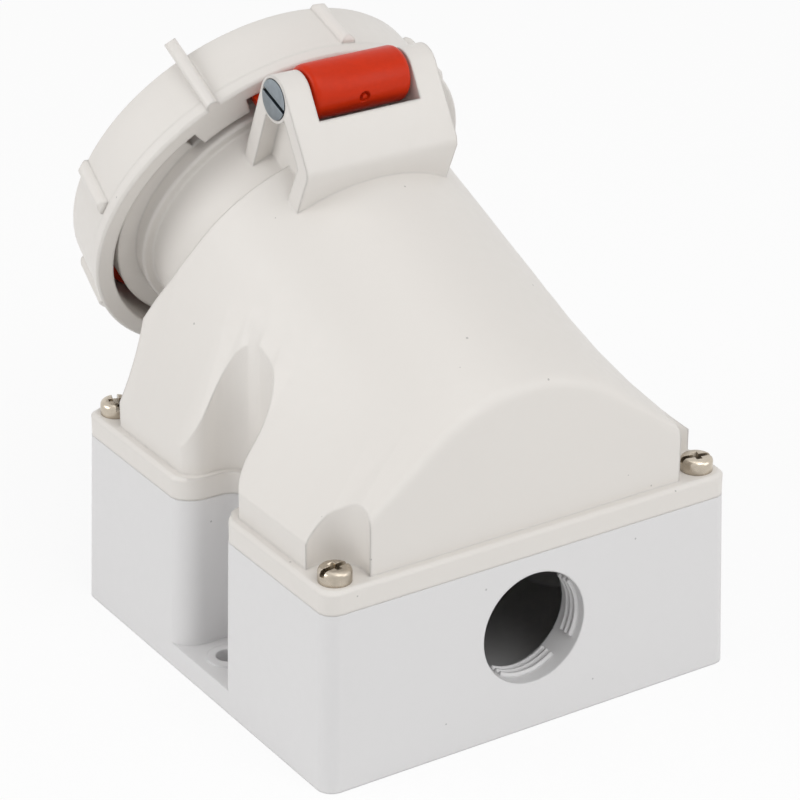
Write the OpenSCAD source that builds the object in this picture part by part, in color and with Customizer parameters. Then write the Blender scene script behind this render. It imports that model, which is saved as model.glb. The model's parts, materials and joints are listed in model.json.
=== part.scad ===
// Surface-mounted industrial wall socket with a hinged lid that a bayonet ring locks.
// The wall face lies on z = 0, the cable enters on -Y, and the plug enters along the tilted socket axis.

/* [Box] */
// Width of the box at the wall, across the two mounting notches
box_width = 101.6; // [94:0.2:120]
// Length of the box at the wall, from the cable side to the far side
box_length = 101; // [94:0.2:120]
// Height of the box up to the cover
box_height = 40; // [34:1:60]
// Inward draft of each side over that height
box_draft = 1.1; // [0.2:0.1:1.5]
// Side wall thickness
box_wall = 3; // [2.6:0.1:4]
// Floor thickness
box_floor = 3; // [2:0.1:5]
// Vertical corner radius
box_corner = 3.5; // [2:0.5:6]

/* [Wall mounting] */
// Distance between the two wall screws
wall_spacing = 87.6; // [84:0.2:92]
// Wall screw hole diameter
wall_hole = 5; // [4:0.1:6.5]
// Width of the mounting notch
notch_width = 15.2; // [13:0.2:18]
// Depth of the notch from the wall screw towards the middle
notch_reach = 8.8; // [7:0.1:10]
// Height of the notch floor
notch_floor = 5.5; // [4:0.5:9]
// Corner radius at the back of the notch
notch_corner = 6; // [3:0.5:6.5]
// Rounding of the notch mouth
notch_mouth = 6; // [3:0.5:7]

/* [Cable entry] */
// Diameter of the cable entry
entry_diameter = 25; // [16:0.5:25]
// Height of its axis above the wall
entry_height = 23.2; // [20:0.2:24]
// Length of the entry through wall and boss
entry_length = 7.4; // [6:0.2:14]
// Boss wall round the entry
entry_rim = 3; // [2:0.2:3]

/* [Cover] */
// Height of the cover flange
flange_height = 5.2; // [4:0.2:8]
// Softened top edge of the flange
flange_edge = 0.8; // [0.3:0.1:1.5]
// Step from the flange edge in to the skirt
skirt_inset = 2.3; // [1.5:0.1:3]
// Growth of the side recess over the notch below it
recess_inset = 1.2; // [0.8:0.1:2.4]
// Height of the upright skirt above the flange
skirt_height = 5.8; // [4:0.2:11]
// Cover wall thickness
cover_wall = 2.8; // [2.2:0.1:3.2]
// Rounding of the cover's end edges
cover_edge = 2; // [1:0.2:3]
// Cover screw axis in from the flange edge
screw_inset = 5; // [4.4:0.1:5.6]
// Diameter of the scallop round each cover screw
scallop_diameter = 14; // [12:0.2:17]

/* [Cover screws] */
// Cover screw head diameter
screw_head = 7.8; // [6:0.1:8]
// Cover screw head height
screw_head_height = 2.8; // [2:0.1:3.5]
// Cover screw shank diameter
screw_shank = 3.9; // [3:0.1:4.2]
// Shank length below the head
screw_length = 19; // [14:1:24]

/* [Socket barrel] */
// Tilt of the socket axis from the wall
tilt = 26.3; // [24:0.1:29]
// Position of the collar plane along the box
mouth_y = 49.6; // [48:0.2:52]
// Height of the collar plane's centre above the wall
mouth_z = 82.9; // [81:0.1:87]
// Barrel radius carried on to the collar plane
barrel_radius = 33.9; // [33.6:0.1:35]
// Growth of the barrel radius for each millimetre back from the collar
barrel_flare = 0.045; // [0.02:0.005:0.06]
// Distance from the collar plane back to the end of the body
body_end = 16; // [15:0.5:18]
// Neck radius at the hub
neck_radius = 31.4; // [31:0.1:31.8]
// Neck radius at the body
neck_root = 32.4; // [32:0.1:33]
// Radius of the plug bore
plug_bore = 28.6; // [28:0.1:28.8]
// Length of the plug bore behind the collar plane
plug_depth = 30; // [28:1:34]
// Width of the keyway
keyway_width = 8; // [5:0.5:10]
// Depth of the keyway
keyway_depth = 1.2; // [0.6:0.1:1.4]

/* [Collar] */
// Radius of the hub behind the collar flange
hub_radius = 33.8; // [33.2:0.1:34.2]
// Radius of the collar flange
collar_radius = 38.2; // [37.8:0.1:38.6]
// Distance from the collar plane to the rear face of the flange
collar_rear = 2.4; // [2.2:0.1:3]
// Distance from the collar plane to the front face of the flange
collar_front = 8.6; // [8:0.1:8.8]
// Height of the sealing rim on the flange
rim_height = 1.2; // [0.8:0.1:1.4]
// Width of the sealing rim
rim_width = 2.4; // [2:0.1:3]

/* [Bayonet ring] */
// Outer radius of the ring at its lower rim
ring_radius = 44.6; // [44:0.1:46]
// Inner radius of the ring wall
ring_bore = 40.7; // [40.4:0.1:41.2]
// Outer radius of the ring near its front
ring_front_radius = 42.9; // [42.2:0.1:44.4]
// Lower rim of the ring, from the collar plane
ring_start = -0.5; // [-0.6:0.1:0]
// Front of the ring, from the collar plane
ring_end = 16.3; // [16:0.1:18]
// Where the lower band of the ring ends
ring_band = 2.5; // [2.2:0.1:3.4]
// Depth of the step above that band
ring_step = 0.3; // [0.1:0.05:0.5]
// Radius of the opening in the front of the ring
ring_opening = 34.6; // [33.5:0.1:36]
// Number of ribs round the ring
rib_count = 8; // [6:1:10]
// Angle of the finger rib from the hinge
rib_angle = -35; // [-38:1:-34]
// Height of the small ribs
rib_height = 1.6; // [0.5:0.1:2]
// Radius of the small ribs
rib_radius = 1.8; // [1.6:0.1:2.5]
// Width of the finger rib
finger_width = 2.8; // [2.2:0.1:4]
// Radius out to the finger rib
finger_radius = 46.2; // [45.6:0.1:48]
// How far the finger rib stands proud of the ring's front
finger_proud = 2.9; // [1:0.1:4]
// Inner radius of the bayonet lugs
lug_radius = 36; // [35.8:0.1:36.6]
// Angle that a lug covers
lug_angle = 18.5; // [15:0.5:19]
// Thickness of the lugs
lug_height = 2.4; // [2:0.1:2.4]
// Angle that the ring turns to lock
ring_travel = 24; // [22:1:26]

/* [Lid] */
// Clearance between the lid and the ring
lid_clearance = 0.4; // [0.3:0.05:0.5]
// Gap between the lid and the collar's sealing rim
lid_gap = 0.4; // [0.3:0.05:0.6]
// Thickness of the lid's carrying disc
lid_disc = 2.6; // [2:0.1:2.8]
// Overlap of the snap bead over the ring
bead_overlap = 0.8; // [0.5:0.1:1.2]
// Thickness of the lid's front
lid_front = 2.4; // [2:0.1:3]
// Seal width
seal_width = 4.6; // [4:0.1:5]
// Seal thickness
seal_thickness = 2; // [1.6:0.1:2.4]

/* [Hinge] */
// Hinge pin behind the collar plane
hinge_back = 9.8; // [9.4:0.1:10.6]
// Hinge pin out from the socket axis
hinge_out = 45.9; // [45.5:0.1:47]
// Pin diameter
pin_diameter = 4; // [3:0.1:5]
// Pin head diameter
pin_head = 8.6; // [7:0.1:9]
// Pin head thickness
pin_head_height = 2.2; // [1.6:0.1:2.4]
// Running clearance round the pin
pin_clearance = 0.05; // [0.03:0.01:0.08]
// Diameter of the lid's hinge barrel
hinge_barrel = 12; // [11:0.1:12.4]
// Half the length of the hinge barrel
hinge_half = 11.8; // [9:0.1:12.4]
// Clearance at each end of the hinge barrel
hinge_side = 0.6; // [0.5:0.1:2]
// Half the width of the bracket
bracket_half = 18.5; // [18:0.1:20]
// Radius of the ears round the pin
ear_radius = 5.1; // [4.9:0.05:5.6]
// Slope of the bracket's front face against the socket axis
bracket_slope = 33.6; // [32:0.2:37]
// Thickness of the bracket's rear legs
leg_thickness = 3.8; // [3:0.1:4.2]
// Lower end of the bracket behind the collar plane
bracket_end = 26.8; // [25:0.2:28]
// Depth of the pockets in the bracket's sides
pocket_depth = 4; // [1:0.1:4.4]

/* [Contacts] */
// Radius of the contact circle
contact_circle = 15; // [14.8:0.1:15.2]
// Bore of the phase and neutral contacts
contact_bore = 5; // [4.6:0.1:5]
// Bore of the earth contact
earth_bore = 7; // [6:0.1:7]
// Wall of the contact sleeves
sleeve_wall = 0.9; // [0.7:0.05:1]
// Length of the contact sleeves
sleeve_length = 27; // [22:1:28]
// Radius of the front insert
insert_radius = 23; // [22.8:0.1:23.4]
// Front of the insert behind the collar plane
insert_front = 1; // [0.5:0.5:4]
// Length of the terminal carrier
terminal_length = 16; // [14:1:18]
// Thickness of the insert's mounting flange
insert_flange = 4; // [3:0.5:5]
// Angle of the carrier screws from the hinge
carrier_angle = 132; // [128:1:136]
// Terminal screw diameter
terminal_screw_diameter = 4; // [3:0.1:4]

/* [Hidden] */
$fn = 64;

// Colours
grey = [0.84, 0.84, 0.84];
offwhite = [0.88, 0.87, 0.84];
red = [0.78, 0.12, 0.07];
nickel = [0.75, 0.72, 0.66];
zinc = [0.6, 0.64, 0.68];
brass = [0.8, 0.66, 0.33];
rubber = [0.12, 0.12, 0.12];
insulation = [0.3, 0.3, 0.32];

// Shared small sizes
eps = 0.01;
over = 1;
slack = 0.1;
mouth_ease = 0.2;

// Box
cover_width = box_width - 2 * box_draft;
cover_length = box_length - 2 * box_draft;
cavity_width = cover_width - 2 * box_wall;
cavity_length = cover_length - 2 * box_wall;
notch_back = wall_spacing / 2 - notch_reach;
post_radius = 5.2;
hole_ring_width = 2;
hole_ring_height = 0.5;
groove_inner = 0.8;
groove_width = 1.4;
groove_depth = 1.4;

// Cover
cover_top = box_height + flange_height;
skirt_top = cover_top + skirt_height;
skirt_x = cover_width / 2 - skirt_inset;
skirt_y = cover_length / 2 - skirt_inset;
screw_x = cover_width / 2 - screw_inset;
screw_y = cover_length / 2 - screw_inset;
screw_passage = screw_shank + 4 * slack;
screw_pilot = screw_shank + slack;
head_round = 1.7;
slot_width = 1;
slot_depth = 1.1;
cross_width = 1.1;
cross_length = 4.6;
cross_depth = 1.7;
loft_steps = 15;
edge_steps = 3;
arc_steps = 24;
flank_ease = 0.4;

// Socket barrel
axis_cos = cos(tilt);
axis_sin = sin(tilt);
cone_slip = barrel_flare * axis_sin;
cone_square = axis_cos * axis_cos - cone_slip * cone_slip;
hub_start = -1;
hub_fillet = 0.5;
edge_break = 0.5;
carrier_post_radius = 3.6;
carrier_post_overlap = 2;
carrier_post_circle = neck_root + carrier_post_radius - carrier_post_overlap;
carrier_pilot = 3;

// Lugs and gaps of the collar flange
lug_first = rib_angle - lug_angle / 2;
gap_before = 5;
gap_after = 9;
gap_floor = hub_radius + 3 * slack;

// Ring
ring_lip_bottom = collar_front + rim_height + lid_gap + lid_disc + lid_clearance;
ring_lip = 2.4;
ring_round = 1.2;
rib_margin = 1.4;
rib_from = ring_band + rib_margin;
rib_to = ring_end - rib_margin;
rib_tip = 0.9;
rib_root = 1.2;
ring_slope = atan((ring_radius - ring_front_radius) / (ring_end - ring_start));

// Lid
lid_under = collar_front + rim_height + lid_gap;
lid_rim = ring_bore - lid_clearance;
lid_boss = ring_opening - lid_clearance;
bead_height = 1;
seal_land = 1.2;
lid_face = ring_lip_bottom + ring_lip + lid_clearance + bead_height;
seal_middle = plug_bore + edge_break + rim_width / 2;
lid_hollow = seal_middle - seal_width / 2 - seal_land;
arm_clearance = 0.5;
arm_thickness = 3;
arm_outer = ring_bore - arm_clearance;
arm_inner = arm_outer - arm_thickness;
arm_angle = 23.5;
arm_gap_angle = 1.5;
arm_back = ear_radius - hinge_back + 3 * arm_clearance;
arm_root = 2;
barrel_round = 1.4;
gate_radius = 1.3;
gate_nub = 0.55;
gate_turn = 76;

// Hinge bracket
ear_inner = hinge_half + hinge_side;
slot_floor_gap = 0.9;
slot_front_gap = 2.6;
slot_floor = arm_inner - slot_floor_gap;
slot_front = -hinge_back - hinge_barrel / 2 - slot_front_gap;
bracket_foot = 24;
leg_front = ear_radius - hinge_back;
leg_lean = 1.4;
pocket_wall = 3.4;
pin_recess = pin_head + 3 * slack;
pin_end = bracket_half - 5 * slack;
pin_proud = 0.2;
pin_slot_turn = -6;

// Contacts, clockwise from the hinge as seen from the plug
pole_step = 360 / 5;
pole_first = 180;
chamber_gap = 1.3;
entry_gap = 0.4;
entry_ease = 0.01;
insert_lip = 3;
sleeve_front = insert_front + insert_lip + entry_gap;
insert_rear = plug_depth + insert_flange;
terminal_rear = insert_rear + terminal_length;
tail_radius = 4.2;
tail_recess = 1.5;
tail_rear = terminal_rear - tail_recess;
wire_hole = 4.2;
wire_depth = 11;
spring_width = 2;
spring_thickness = 0.6;
spring_back = 5;
terminal_screw_back = insert_rear + 8;
terminal_screw_length = 8;
terminal_head = 1.6;
carrier_screw_length = 12;
carrier_head = 2.4;
carrier_head_radius = 2.9;
earth_tail = 5.1;

// Builds in the socket frame: Z runs out of the mouth and -Y points to the hinge
module in_socket() {
    translate([0, mouth_y, mouth_z])
        rotate([tilt - 90, 0, 0])
            children();
}

// Stands a side view, drawn as distance along the axis and distance out to the hinge, from x0 to x1
module along_x(x0, x1) {
    translate([x0, 0, 0])
        rotate([0, -90, 180])
            linear_extrude(x1 - x0)
                children();
}

// A rectangle with round corners
module round_rect(w, l, r) {
    square([w - 2 * r, l], center = true);
    square([w, l - 2 * r], center = true);
    for (x = [-1, 1], y = [-1, 1])
        translate([x * (w / 2 - r), y * (l / 2 - r)])
            circle(r);
}

// A sector from angle a0 to a1 round the socket axis, between two radii
module sector(a0, a1, r0, r1) {
    steps = 8;
    intersection() {
        difference() {
            circle(r1);
            circle(r0);
        }
        polygon(concat([[0, 0]], [for (i = [0:steps])
            let (a = a0 + (a1 - a0) * i / steps)
                [2 * r1 * sin(a), -2 * r1 * cos(a)]]));
    }
}

// Plan of the notch on the -X side, grown by g, in a side that lies at half-width half
module notch_plan(g, half) {
    w = notch_width / 2 + g;
    back = notch_back - g;
    r = notch_corner + g;
    m = max(notch_mouth - g, 0.5);
    translate([-half - over, -w])
        square([half + over - back - r, 2 * w]);
    translate([-back - r - eps, r - w])
        square([r + eps, 2 * (w - r)]);
    for (y = [-1, 1])
        translate([-back - r, y * (w - r)])
            circle(r);
    for (y = [0, 1])
        mirror([0, y])
            difference() {
                translate([-half - over, w - eps])
                    square([over + m, m + eps]);
                translate([m - half - mouth_ease, w + m])
                    circle(m);
            }
}

// Both notches
module notch_plans(g, half) {
    for (x = [0, 1])
        mirror([x, 0])
            notch_plan(g, half);
}

// Corner posts for the cover screws, shrunk by g
module post_plans(g) {
    r = post_radius - g;
    for (x = [0, 1], y = [0, 1])
        mirror([x, 0])
            mirror([0, y]) {
                translate([screw_x, screw_y])
                    circle(r);
                translate([screw_x - r, screw_y])
                    square(box_wall + screw_inset + r);
                translate([screw_x, screw_y - r])
                    square(box_wall + screw_inset + r);
            }
}

// Plan of the box cavity, grown by g
module cavity_plan(g) {
    difference() {
        round_rect(cavity_width + 2 * g, cavity_length + 2 * g, box_corner / 2 + g);
        notch_plans(box_wall - g, cover_width / 2);
        post_plans(g);
    }
}

// Box

// Upright prism between two heights with the box's draft
module drafted(z0, z1) {
    step = 2 * box_draft / box_height;
    low = [1 - step * z0 / box_width, 1 - step * z0 / box_length];
    high = [1 - step * z1 / box_width, 1 - step * z1 / box_length];
    translate([0, 0, z0])
        linear_extrude(z1 - z0, scale = [high.x / low.x, high.y / low.y], slices = 1)
            scale(low)
                children();
}

module base_box() {
    color(grey) difference() {
        union() {
            difference() {
                drafted(0, box_height)
                    round_rect(box_width, box_length, box_corner);
                drafted(notch_floor, box_height + over)
                    notch_plans(0, box_width / 2);
                translate([0, 0, box_floor])
                    linear_extrude(box_height)
                        cavity_plan(0);
            }
            for (x = [-1, 1])
                translate([x * wall_spacing / 2, 0, notch_floor - eps])
                    cylinder(hole_ring_height + eps, r = wall_hole / 2 + hole_ring_width);
            translate([0, -cover_length / 2 + box_wall / 2, entry_height])
                rotate([-90, 0, 0])
                    cylinder(entry_length - box_wall / 2, d = entry_diameter + 2 * entry_rim);
        }
        translate([0, -box_length / 2 - over, entry_height])
            rotate([-90, 0, 0])
                cylinder(entry_length + 3 * over, d = entry_diameter);
        for (x = [-1, 1])
            translate([x * wall_spacing / 2, 0, -over])
                cylinder(notch_floor + 3 * over, d = wall_hole);
        for (x = [-1, 1], y = [-1, 1])
            translate([x * screw_x, y * screw_y, cover_top - screw_length - over])
                cylinder(screw_length, d = screw_pilot);
        translate([0, 0, box_height - groove_depth])
            linear_extrude(groove_depth + over)
                difference() {
                    cavity_plan(groove_inner + groove_width);
                    cavity_plan(groove_inner);
                }
    }
}

module cover_gasket() {
    color(rubber)
        translate([0, 0, box_height - groove_depth])
            linear_extrude(groove_depth)
                difference() {
                    cavity_plan(groove_inner + groove_width - slack);
                    cavity_plan(groove_inner + slack);
                }
}

// Cover housing

// Cross sections of the body: a conic of the tilted barrel with tangent flanks down to the skirt, inset by d
function cone_r(y, d) = barrel_radius - d - barrel_flare * (y - mouth_y) / axis_cos;
function conic_x(y, d) = cone_r(y, d) * axis_cos / sqrt(cone_square);
function conic_z(y, d) = cone_r(y, d) * axis_cos / cone_square;
function conic_mid(y, d) = mouth_z + (y - mouth_y) * tan(tilt) - cone_r(y, d) * cone_slip / cone_square;
function flank_x(d) = skirt_x - d;
function flank_z(d) = skirt_top - flank_ease * d;
function tangent_angle(p, q) = atan2(q, p) + acos(1 / norm([p, q]));
function body_start(y, d) =
    tangent_angle(flank_x(d) / conic_x(y, d), (flank_z(d) - conic_mid(y, d)) / conic_z(y, d));
function body_section(y, d, foot) = concat(
    [[flank_x(d), y, foot], [flank_x(d), y, flank_z(d)]],
    [for (i = [0:arc_steps])
        let (t0 = body_start(y, d), t = t0 + (180 - 2 * t0) * i / arc_steps)
            [conic_x(y, d) * cos(t), y, conic_mid(y, d) + conic_z(y, d) * sin(t)]],
    [[-flank_x(d), y, flank_z(d)], [-flank_x(d), y, foot]]);

// Stations along the body as position and inset, with rounded ends
function stations(half, round) = concat(
    [for (i = [0:edge_steps - 1])
        let (a = 90 * i / edge_steps)
            [-half + round * (1 - cos(a)), round * (1 - sin(a))]],
    [for (i = [0:loft_steps])
        [-half + round + 2 * (half - round) * i / loft_steps, 0]],
    [for (i = [edge_steps - 1:-1:0])
        let (a = 90 * i / edge_steps)
            [half - round * (1 - cos(a)), round * (1 - sin(a))]]);

// The body as one loft, d in from the outside, standing on foot
module body_loft(half, round, d, foot) {
    list = stations(half, round);
    count = arc_steps + 5;
    points = [for (st = list) each body_section(st[0], d + st[1], foot)];
    sides = [for (k = [0:len(list) - 2], j = [0:count - 1])
        let (a = k * count + j, b = k * count + (j + 1) % count)
            each [[a, b, a + count], [b, b + count, a + count]]];
    first = [[for (j = [count - 1:-1:0]) j]];
    last = [[for (j = [0:count - 1]) (len(list) - 1) * count + j]];
    polyhedron(points, concat(sides, first, last), convexity = 4);
}

// Everything behind a plane across the socket axis
module behind(s) {
    reach = 2 * (box_width + box_length);
    in_socket()
        translate([-reach / 2, -reach / 2, -s - reach])
            cube(reach);
}

// Upright clearings over the notches and round the cover screws, grown by g
module clearings(g, z0) {
    tall = mouth_z + collar_radius;
    translate([0, 0, z0]) {
        linear_extrude(tall)
            notch_plans(recess_inset + g, cover_width / 2 - skirt_inset);
        for (x = [-1, 1], y = [-1, 1])
            translate([x * screw_x, y * screw_y])
                cylinder(tall, d = scallop_diameter + 2 * g);
    }
}

module cover_flange() {
    flat = flange_height - flange_edge;
    taper = [1 - 2 * flange_edge / cover_width, 1 - 2 * flange_edge / cover_length];
    translate([0, 0, box_height])
        linear_extrude(flat)
            flange_plan();
    translate([0, 0, box_height + flat])
        linear_extrude(flange_edge, scale = taper, slices = 1)
            flange_plan();
}

module flange_plan() {
    difference() {
        round_rect(cover_width, cover_length, box_corner);
        notch_plans(0, cover_width / 2);
    }
}

module cover_shell() {
    difference() {
        union() {
            cover_flange();
            difference() {
                intersection() {
                    body_loft(skirt_y, cover_edge, 0, box_height + flange_edge);
                    behind(body_end);
                }
                clearings(0, cover_top - eps);
                translate([0, 0, box_height])
                    linear_extrude(flange_height)
                        notch_plans(0, cover_width / 2);
            }
        }
        difference() {
            intersection() {
                body_loft(skirt_y - cover_wall, cover_edge / 2, cover_wall, box_height - over);
                behind(body_end + cover_wall);
            }
            clearings(cover_wall, 0);
        }
        for (x = [-1, 1], y = [-1, 1])
            translate([x * screw_x, y * screw_y, box_height - over])
                cylinder(flange_height + 2 * over, d = screw_passage);
    }
}

module collar() {
    fillet = [for (a = [0:22.5:90])
        [neck_radius + hub_fillet * (1 - cos(a)), hub_start - hub_fillet * (1 - sin(a))]];
    rim_inner = plug_bore + edge_break;
    rotate_extrude()
        polygon(concat([
            [plug_bore - over, -plug_depth],
            [neck_root, -plug_depth],
            [neck_root, -body_end]], fillet, [
            [hub_radius - edge_break, hub_start],
            [hub_radius, hub_start + edge_break],
            [hub_radius, collar_rear],
            [collar_radius, collar_rear],
            [collar_radius, collar_front - edge_break],
            [collar_radius - edge_break, collar_front],
            [rim_inner + rim_width + edge_break, collar_front],
            [rim_inner + rim_width, collar_front + rim_height],
            [rim_inner, collar_front + rim_height],
            [plug_bore - over, collar_front]]));
}

// Gaps that let the bayonet lugs and the lid's arm past the collar flange
module collar_gaps() {
    gap_first = lug_first - gap_before;
    gap_last = lug_first + lug_angle + gap_after;
    arm_gap = arm_angle + arm_gap_angle;
    for (a = [0, 180])
        translate([0, 0, collar_rear - eps])
            linear_extrude(collar_front - collar_rear + over)
                sector(a + gap_first, a + gap_last, gap_floor, ring_radius);
    translate([0, 0, collar_rear - eps])
        linear_extrude(collar_front - collar_rear + over)
            sector(-arm_gap, arm_gap, arm_inner - arm_clearance, ring_radius);
}

// Where the bracket's front face leaves the ear
function face_top() =
    [-hinge_back - ear_radius * sin(bracket_slope), hinge_out + ear_radius * cos(bracket_slope)];

// Height of a line along the front face, drop below it
function face_line(s, drop) =
    face_top()[1] - (face_top()[0] - s) * tan(bracket_slope) - drop / cos(bracket_slope);

// Side view of the bracket: rear leg, ear round the pin, sloping front face and lower end
module bracket_side() {
    polygon([
        [leg_front - leg_lean, bracket_foot],
        [leg_front, hinge_out],
        [-hinge_back, hinge_out],
        face_top(),
        [-bracket_end + edge_break, face_line(-bracket_end + edge_break, 0)],
        [-bracket_end - edge_break, face_line(-bracket_end, 2 * edge_break)],
        [-bracket_end - over, bracket_foot]]);
    translate([-hinge_back, hinge_out])
        circle(ear_radius);
}

// Side view of the pocket between the front wall and the rear leg
module pocket_side() {
    difference() {
        polygon([
            [leg_front - leg_thickness - leg_lean, bracket_foot],
            [leg_front - leg_thickness, hinge_out],
            [-hinge_back, face_line(-hinge_back, pocket_wall)],
            [pocket_wall - bracket_end, face_line(pocket_wall - bracket_end, pocket_wall)],
            [pocket_wall - bracket_end, bracket_foot]]);
        translate([-hinge_back, hinge_out])
            circle(ear_radius);
    }
}

module hinge_bracket() {
    difference() {
        along_x(-bracket_half, bracket_half)
            bracket_side();
        along_x(-ear_inner, ear_inner)
            translate([slot_front, slot_floor])
                square([2 * hinge_out, hinge_out]);
        for (x = [0, 1])
            mirror([x, 0, 0])
                along_x(bracket_half - pocket_depth, bracket_half + over)
                    pocket_side();
        along_x(-2 * bracket_half, 2 * bracket_half)
            translate([-hinge_back, hinge_out])
                circle(pin_diameter / 2 + pin_clearance);
        along_x(-2 * bracket_half, pin_head_height - bracket_half)
            translate([-hinge_back, hinge_out])
                circle(pin_recess / 2);
    }
}

// Posts inside the housing that take the carrier screws
module carrier_posts() {
    for (a = [-carrier_angle, carrier_angle])
        rotate([0, 0, a])
            translate([0, -carrier_post_circle, -plug_depth])
                cylinder(plug_depth - body_end - cover_wall / 2, r = carrier_post_radius);
}

module cover_housing() {
    bore_length = plug_depth + collar_front + rim_height + 2 * over;
    color(offwhite) difference() {
        union() {
            cover_shell();
            in_socket() {
                difference() {
                    collar();
                    collar_gaps();
                }
                hinge_bracket();
                carrier_posts();
            }
        }
        in_socket() {
            translate([0, 0, -plug_depth - over])
                cylinder(bore_length, r = plug_bore);
            translate([-keyway_width / 2, 0, -plug_depth - over])
                cube([keyway_width, plug_bore + keyway_depth, bore_length]);
            for (a = [-carrier_angle, carrier_angle])
                rotate([0, 0, a])
                    translate([0, -carrier_post_circle, -plug_depth - over])
                        cylinder(carrier_screw_length + over, d = carrier_pilot + slack);
        }
    }
}

// Cover screws

module cover_screw(x, y, turn) {
    crown = [for (a = [0:22.5:90])
        [screw_head / 2 - head_round * (1 - cos(a)), screw_head_height - head_round * (1 - sin(a))]];
    color(nickel)
        translate([x * screw_x, y * screw_y, cover_top])
            rotate([0, 0, turn])
                difference() {
                    union() {
                        rotate_extrude()
                            polygon(concat([[0, 0], [screw_head / 2, 0]], crown, [[0, screw_head_height]]));
                        translate([0, 0, -screw_length + over])
                            cylinder(screw_length, d = screw_shank);
                    }
                    translate([0, 0, screw_head_height - slot_depth / 2 + over / 2])
                        cube([screw_head + over, slot_width, slot_depth + over], center = true);
                    translate([0, 0, screw_head_height - cross_depth / 2 + over / 2]) {
                        cube([cross_length, cross_width, cross_depth + over], center = true);
                        cube([cross_width, cross_length, cross_depth + over], center = true);
                    }
                }
}

module cover_screw_1() {
    cover_screw(-1, -1, 52);
}

module cover_screw_2() {
    cover_screw(1, -1, 8);
}

module cover_screw_3() {
    cover_screw(-1, 1, 35);
}

module cover_screw_4() {
    cover_screw(1, 1, 70);
}

// Insert and contacts

// Places a piece at one of the five poles
module at_pole(k) {
    in_socket()
        rotate([0, 0, pole_first + k * pole_step])
            translate([0, -contact_circle, 0])
                children();
}

module contact_carrier() {
    color(insulation) difference() {
        in_socket()
            union() {
                translate([0, 0, -insert_rear])
                    cylinder(insert_rear - insert_front, r = insert_radius);
                translate([0, 0, -insert_rear])
                    cylinder(insert_flange, r = neck_radius - 2 * edge_break);
                for (a = [-carrier_angle, carrier_angle])
                    rotate([0, 0, a]) {
                        translate([0, -carrier_post_circle, -insert_rear])
                            cylinder(insert_flange, r = carrier_post_radius);
                        translate([-carrier_post_radius, -carrier_post_circle, -insert_rear])
                            cube([2 * carrier_post_radius, carrier_post_radius + 2 * over, insert_flange]);
                    }
            }
        for (k = [0:4])
            at_pole(k) {
                bore = k == 0 ? earth_bore : contact_bore;
                chamber = bore / 2 + sleeve_wall + chamber_gap;
                translate([0, 0, -insert_front - insert_lip - over])
                    cylinder(insert_lip + 2 * over, r = bore / 2 + entry_ease);
                translate([0, 0, -insert_rear - over])
                    cylinder(insert_rear - insert_front - insert_lip + over, r = chamber);
            }
        in_socket()
            for (a = [-carrier_angle, carrier_angle])
                rotate([0, 0, a])
                    translate([0, -carrier_post_circle, -insert_rear - over])
                        cylinder(insert_flange + 2 * over, d = carrier_pilot + 4 * slack);
    }
}

module terminal_carrier() {
    color(insulation) difference() {
        in_socket()
            translate([0, 0, -terminal_rear])
                cylinder(terminal_length, r = insert_radius);
        for (k = [0:4])
            at_pole(k) {
                translate([0, 0, -terminal_rear - over])
                    cylinder(terminal_length + 2 * over, r = (k == 0 ? earth_tail : tail_radius) + slack / 2);
                translate([0, 0, -terminal_screw_back])
                    rotate([90, 0, 0])
                        cylinder(contact_circle, d = terminal_screw_diameter + over);
            }
    }
}

// A sleeve for the plug pin with a solid tail for the wire
module contact(k) {
    bore = k == 0 ? earth_bore : contact_bore;
    tail = k == 0 ? earth_tail : tail_radius;
    color(brass) at_pole(k) difference() {
        union() {
            translate([0, 0, -sleeve_front - sleeve_length])
                cylinder(sleeve_length, r = bore / 2 + sleeve_wall);
            translate([0, 0, -insert_rear])
                cylinder(insert_rear - sleeve_front - sleeve_length + eps, r = bore / 2 + sleeve_wall);
            translate([0, 0, -tail_rear])
                cylinder(tail_rear - insert_rear, r = tail);
        }
        translate([0, 0, -sleeve_front - sleeve_length])
            cylinder(sleeve_length + over, d = bore);
        translate([0, 0, -tail_rear - over])
            cylinder(wire_depth + over, d = wire_hole);
        translate([0, 0, -terminal_screw_back])
            rotate([90, 0, 0])
                cylinder(2 * tail, d = terminal_screw_diameter + slack);
    }
}

module contact_pe() {
    contact(0);
}

module contact_l1() {
    contact(1);
}

module contact_l2() {
    contact(2);
}

module contact_l3() {
    contact(3);
}

module contact_n() {
    contact(4);
}

// A steel band round the mouth of a sleeve
module contact_spring(k) {
    inner = (k == 0 ? earth_bore : contact_bore) / 2 + sleeve_wall + slack / 2;
    color(zinc) at_pole(k)
        translate([0, 0, -sleeve_front - spring_back - spring_width])
            linear_extrude(spring_width)
                difference() {
                    circle(inner + spring_thickness);
                    circle(inner);
                    square([inner + over, slot_width]);
                }
}

module contact_spring_pe() {
    contact_spring(0);
}

module contact_spring_l1() {
    contact_spring(1);
}

module contact_spring_l2() {
    contact_spring(2);
}

module contact_spring_l3() {
    contact_spring(3);
}

module contact_spring_n() {
    contact_spring(4);
}

// A slotted screw that clamps the wire in a tail
module terminal_screw(k) {
    start = wire_hole / 2 - 6 * slack;
    color(zinc) at_pole(k)
        translate([0, 0, -terminal_screw_back])
            rotate([90, 0, 0])
                difference() {
                    translate([0, 0, start])
                        cylinder(terminal_screw_length, d = terminal_screw_diameter);
                    translate([0, 0, start + terminal_screw_length - terminal_head / 2 + over / 2])
                        cube([2 * terminal_screw_diameter, slot_width, terminal_head + over], center = true);
                }
}

module terminal_screw_pe() {
    terminal_screw(0);
}

module terminal_screw_l1() {
    terminal_screw(1);
}

module terminal_screw_l2() {
    terminal_screw(2);
}

module terminal_screw_l3() {
    terminal_screw(3);
}

module terminal_screw_n() {
    terminal_screw(4);
}

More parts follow.
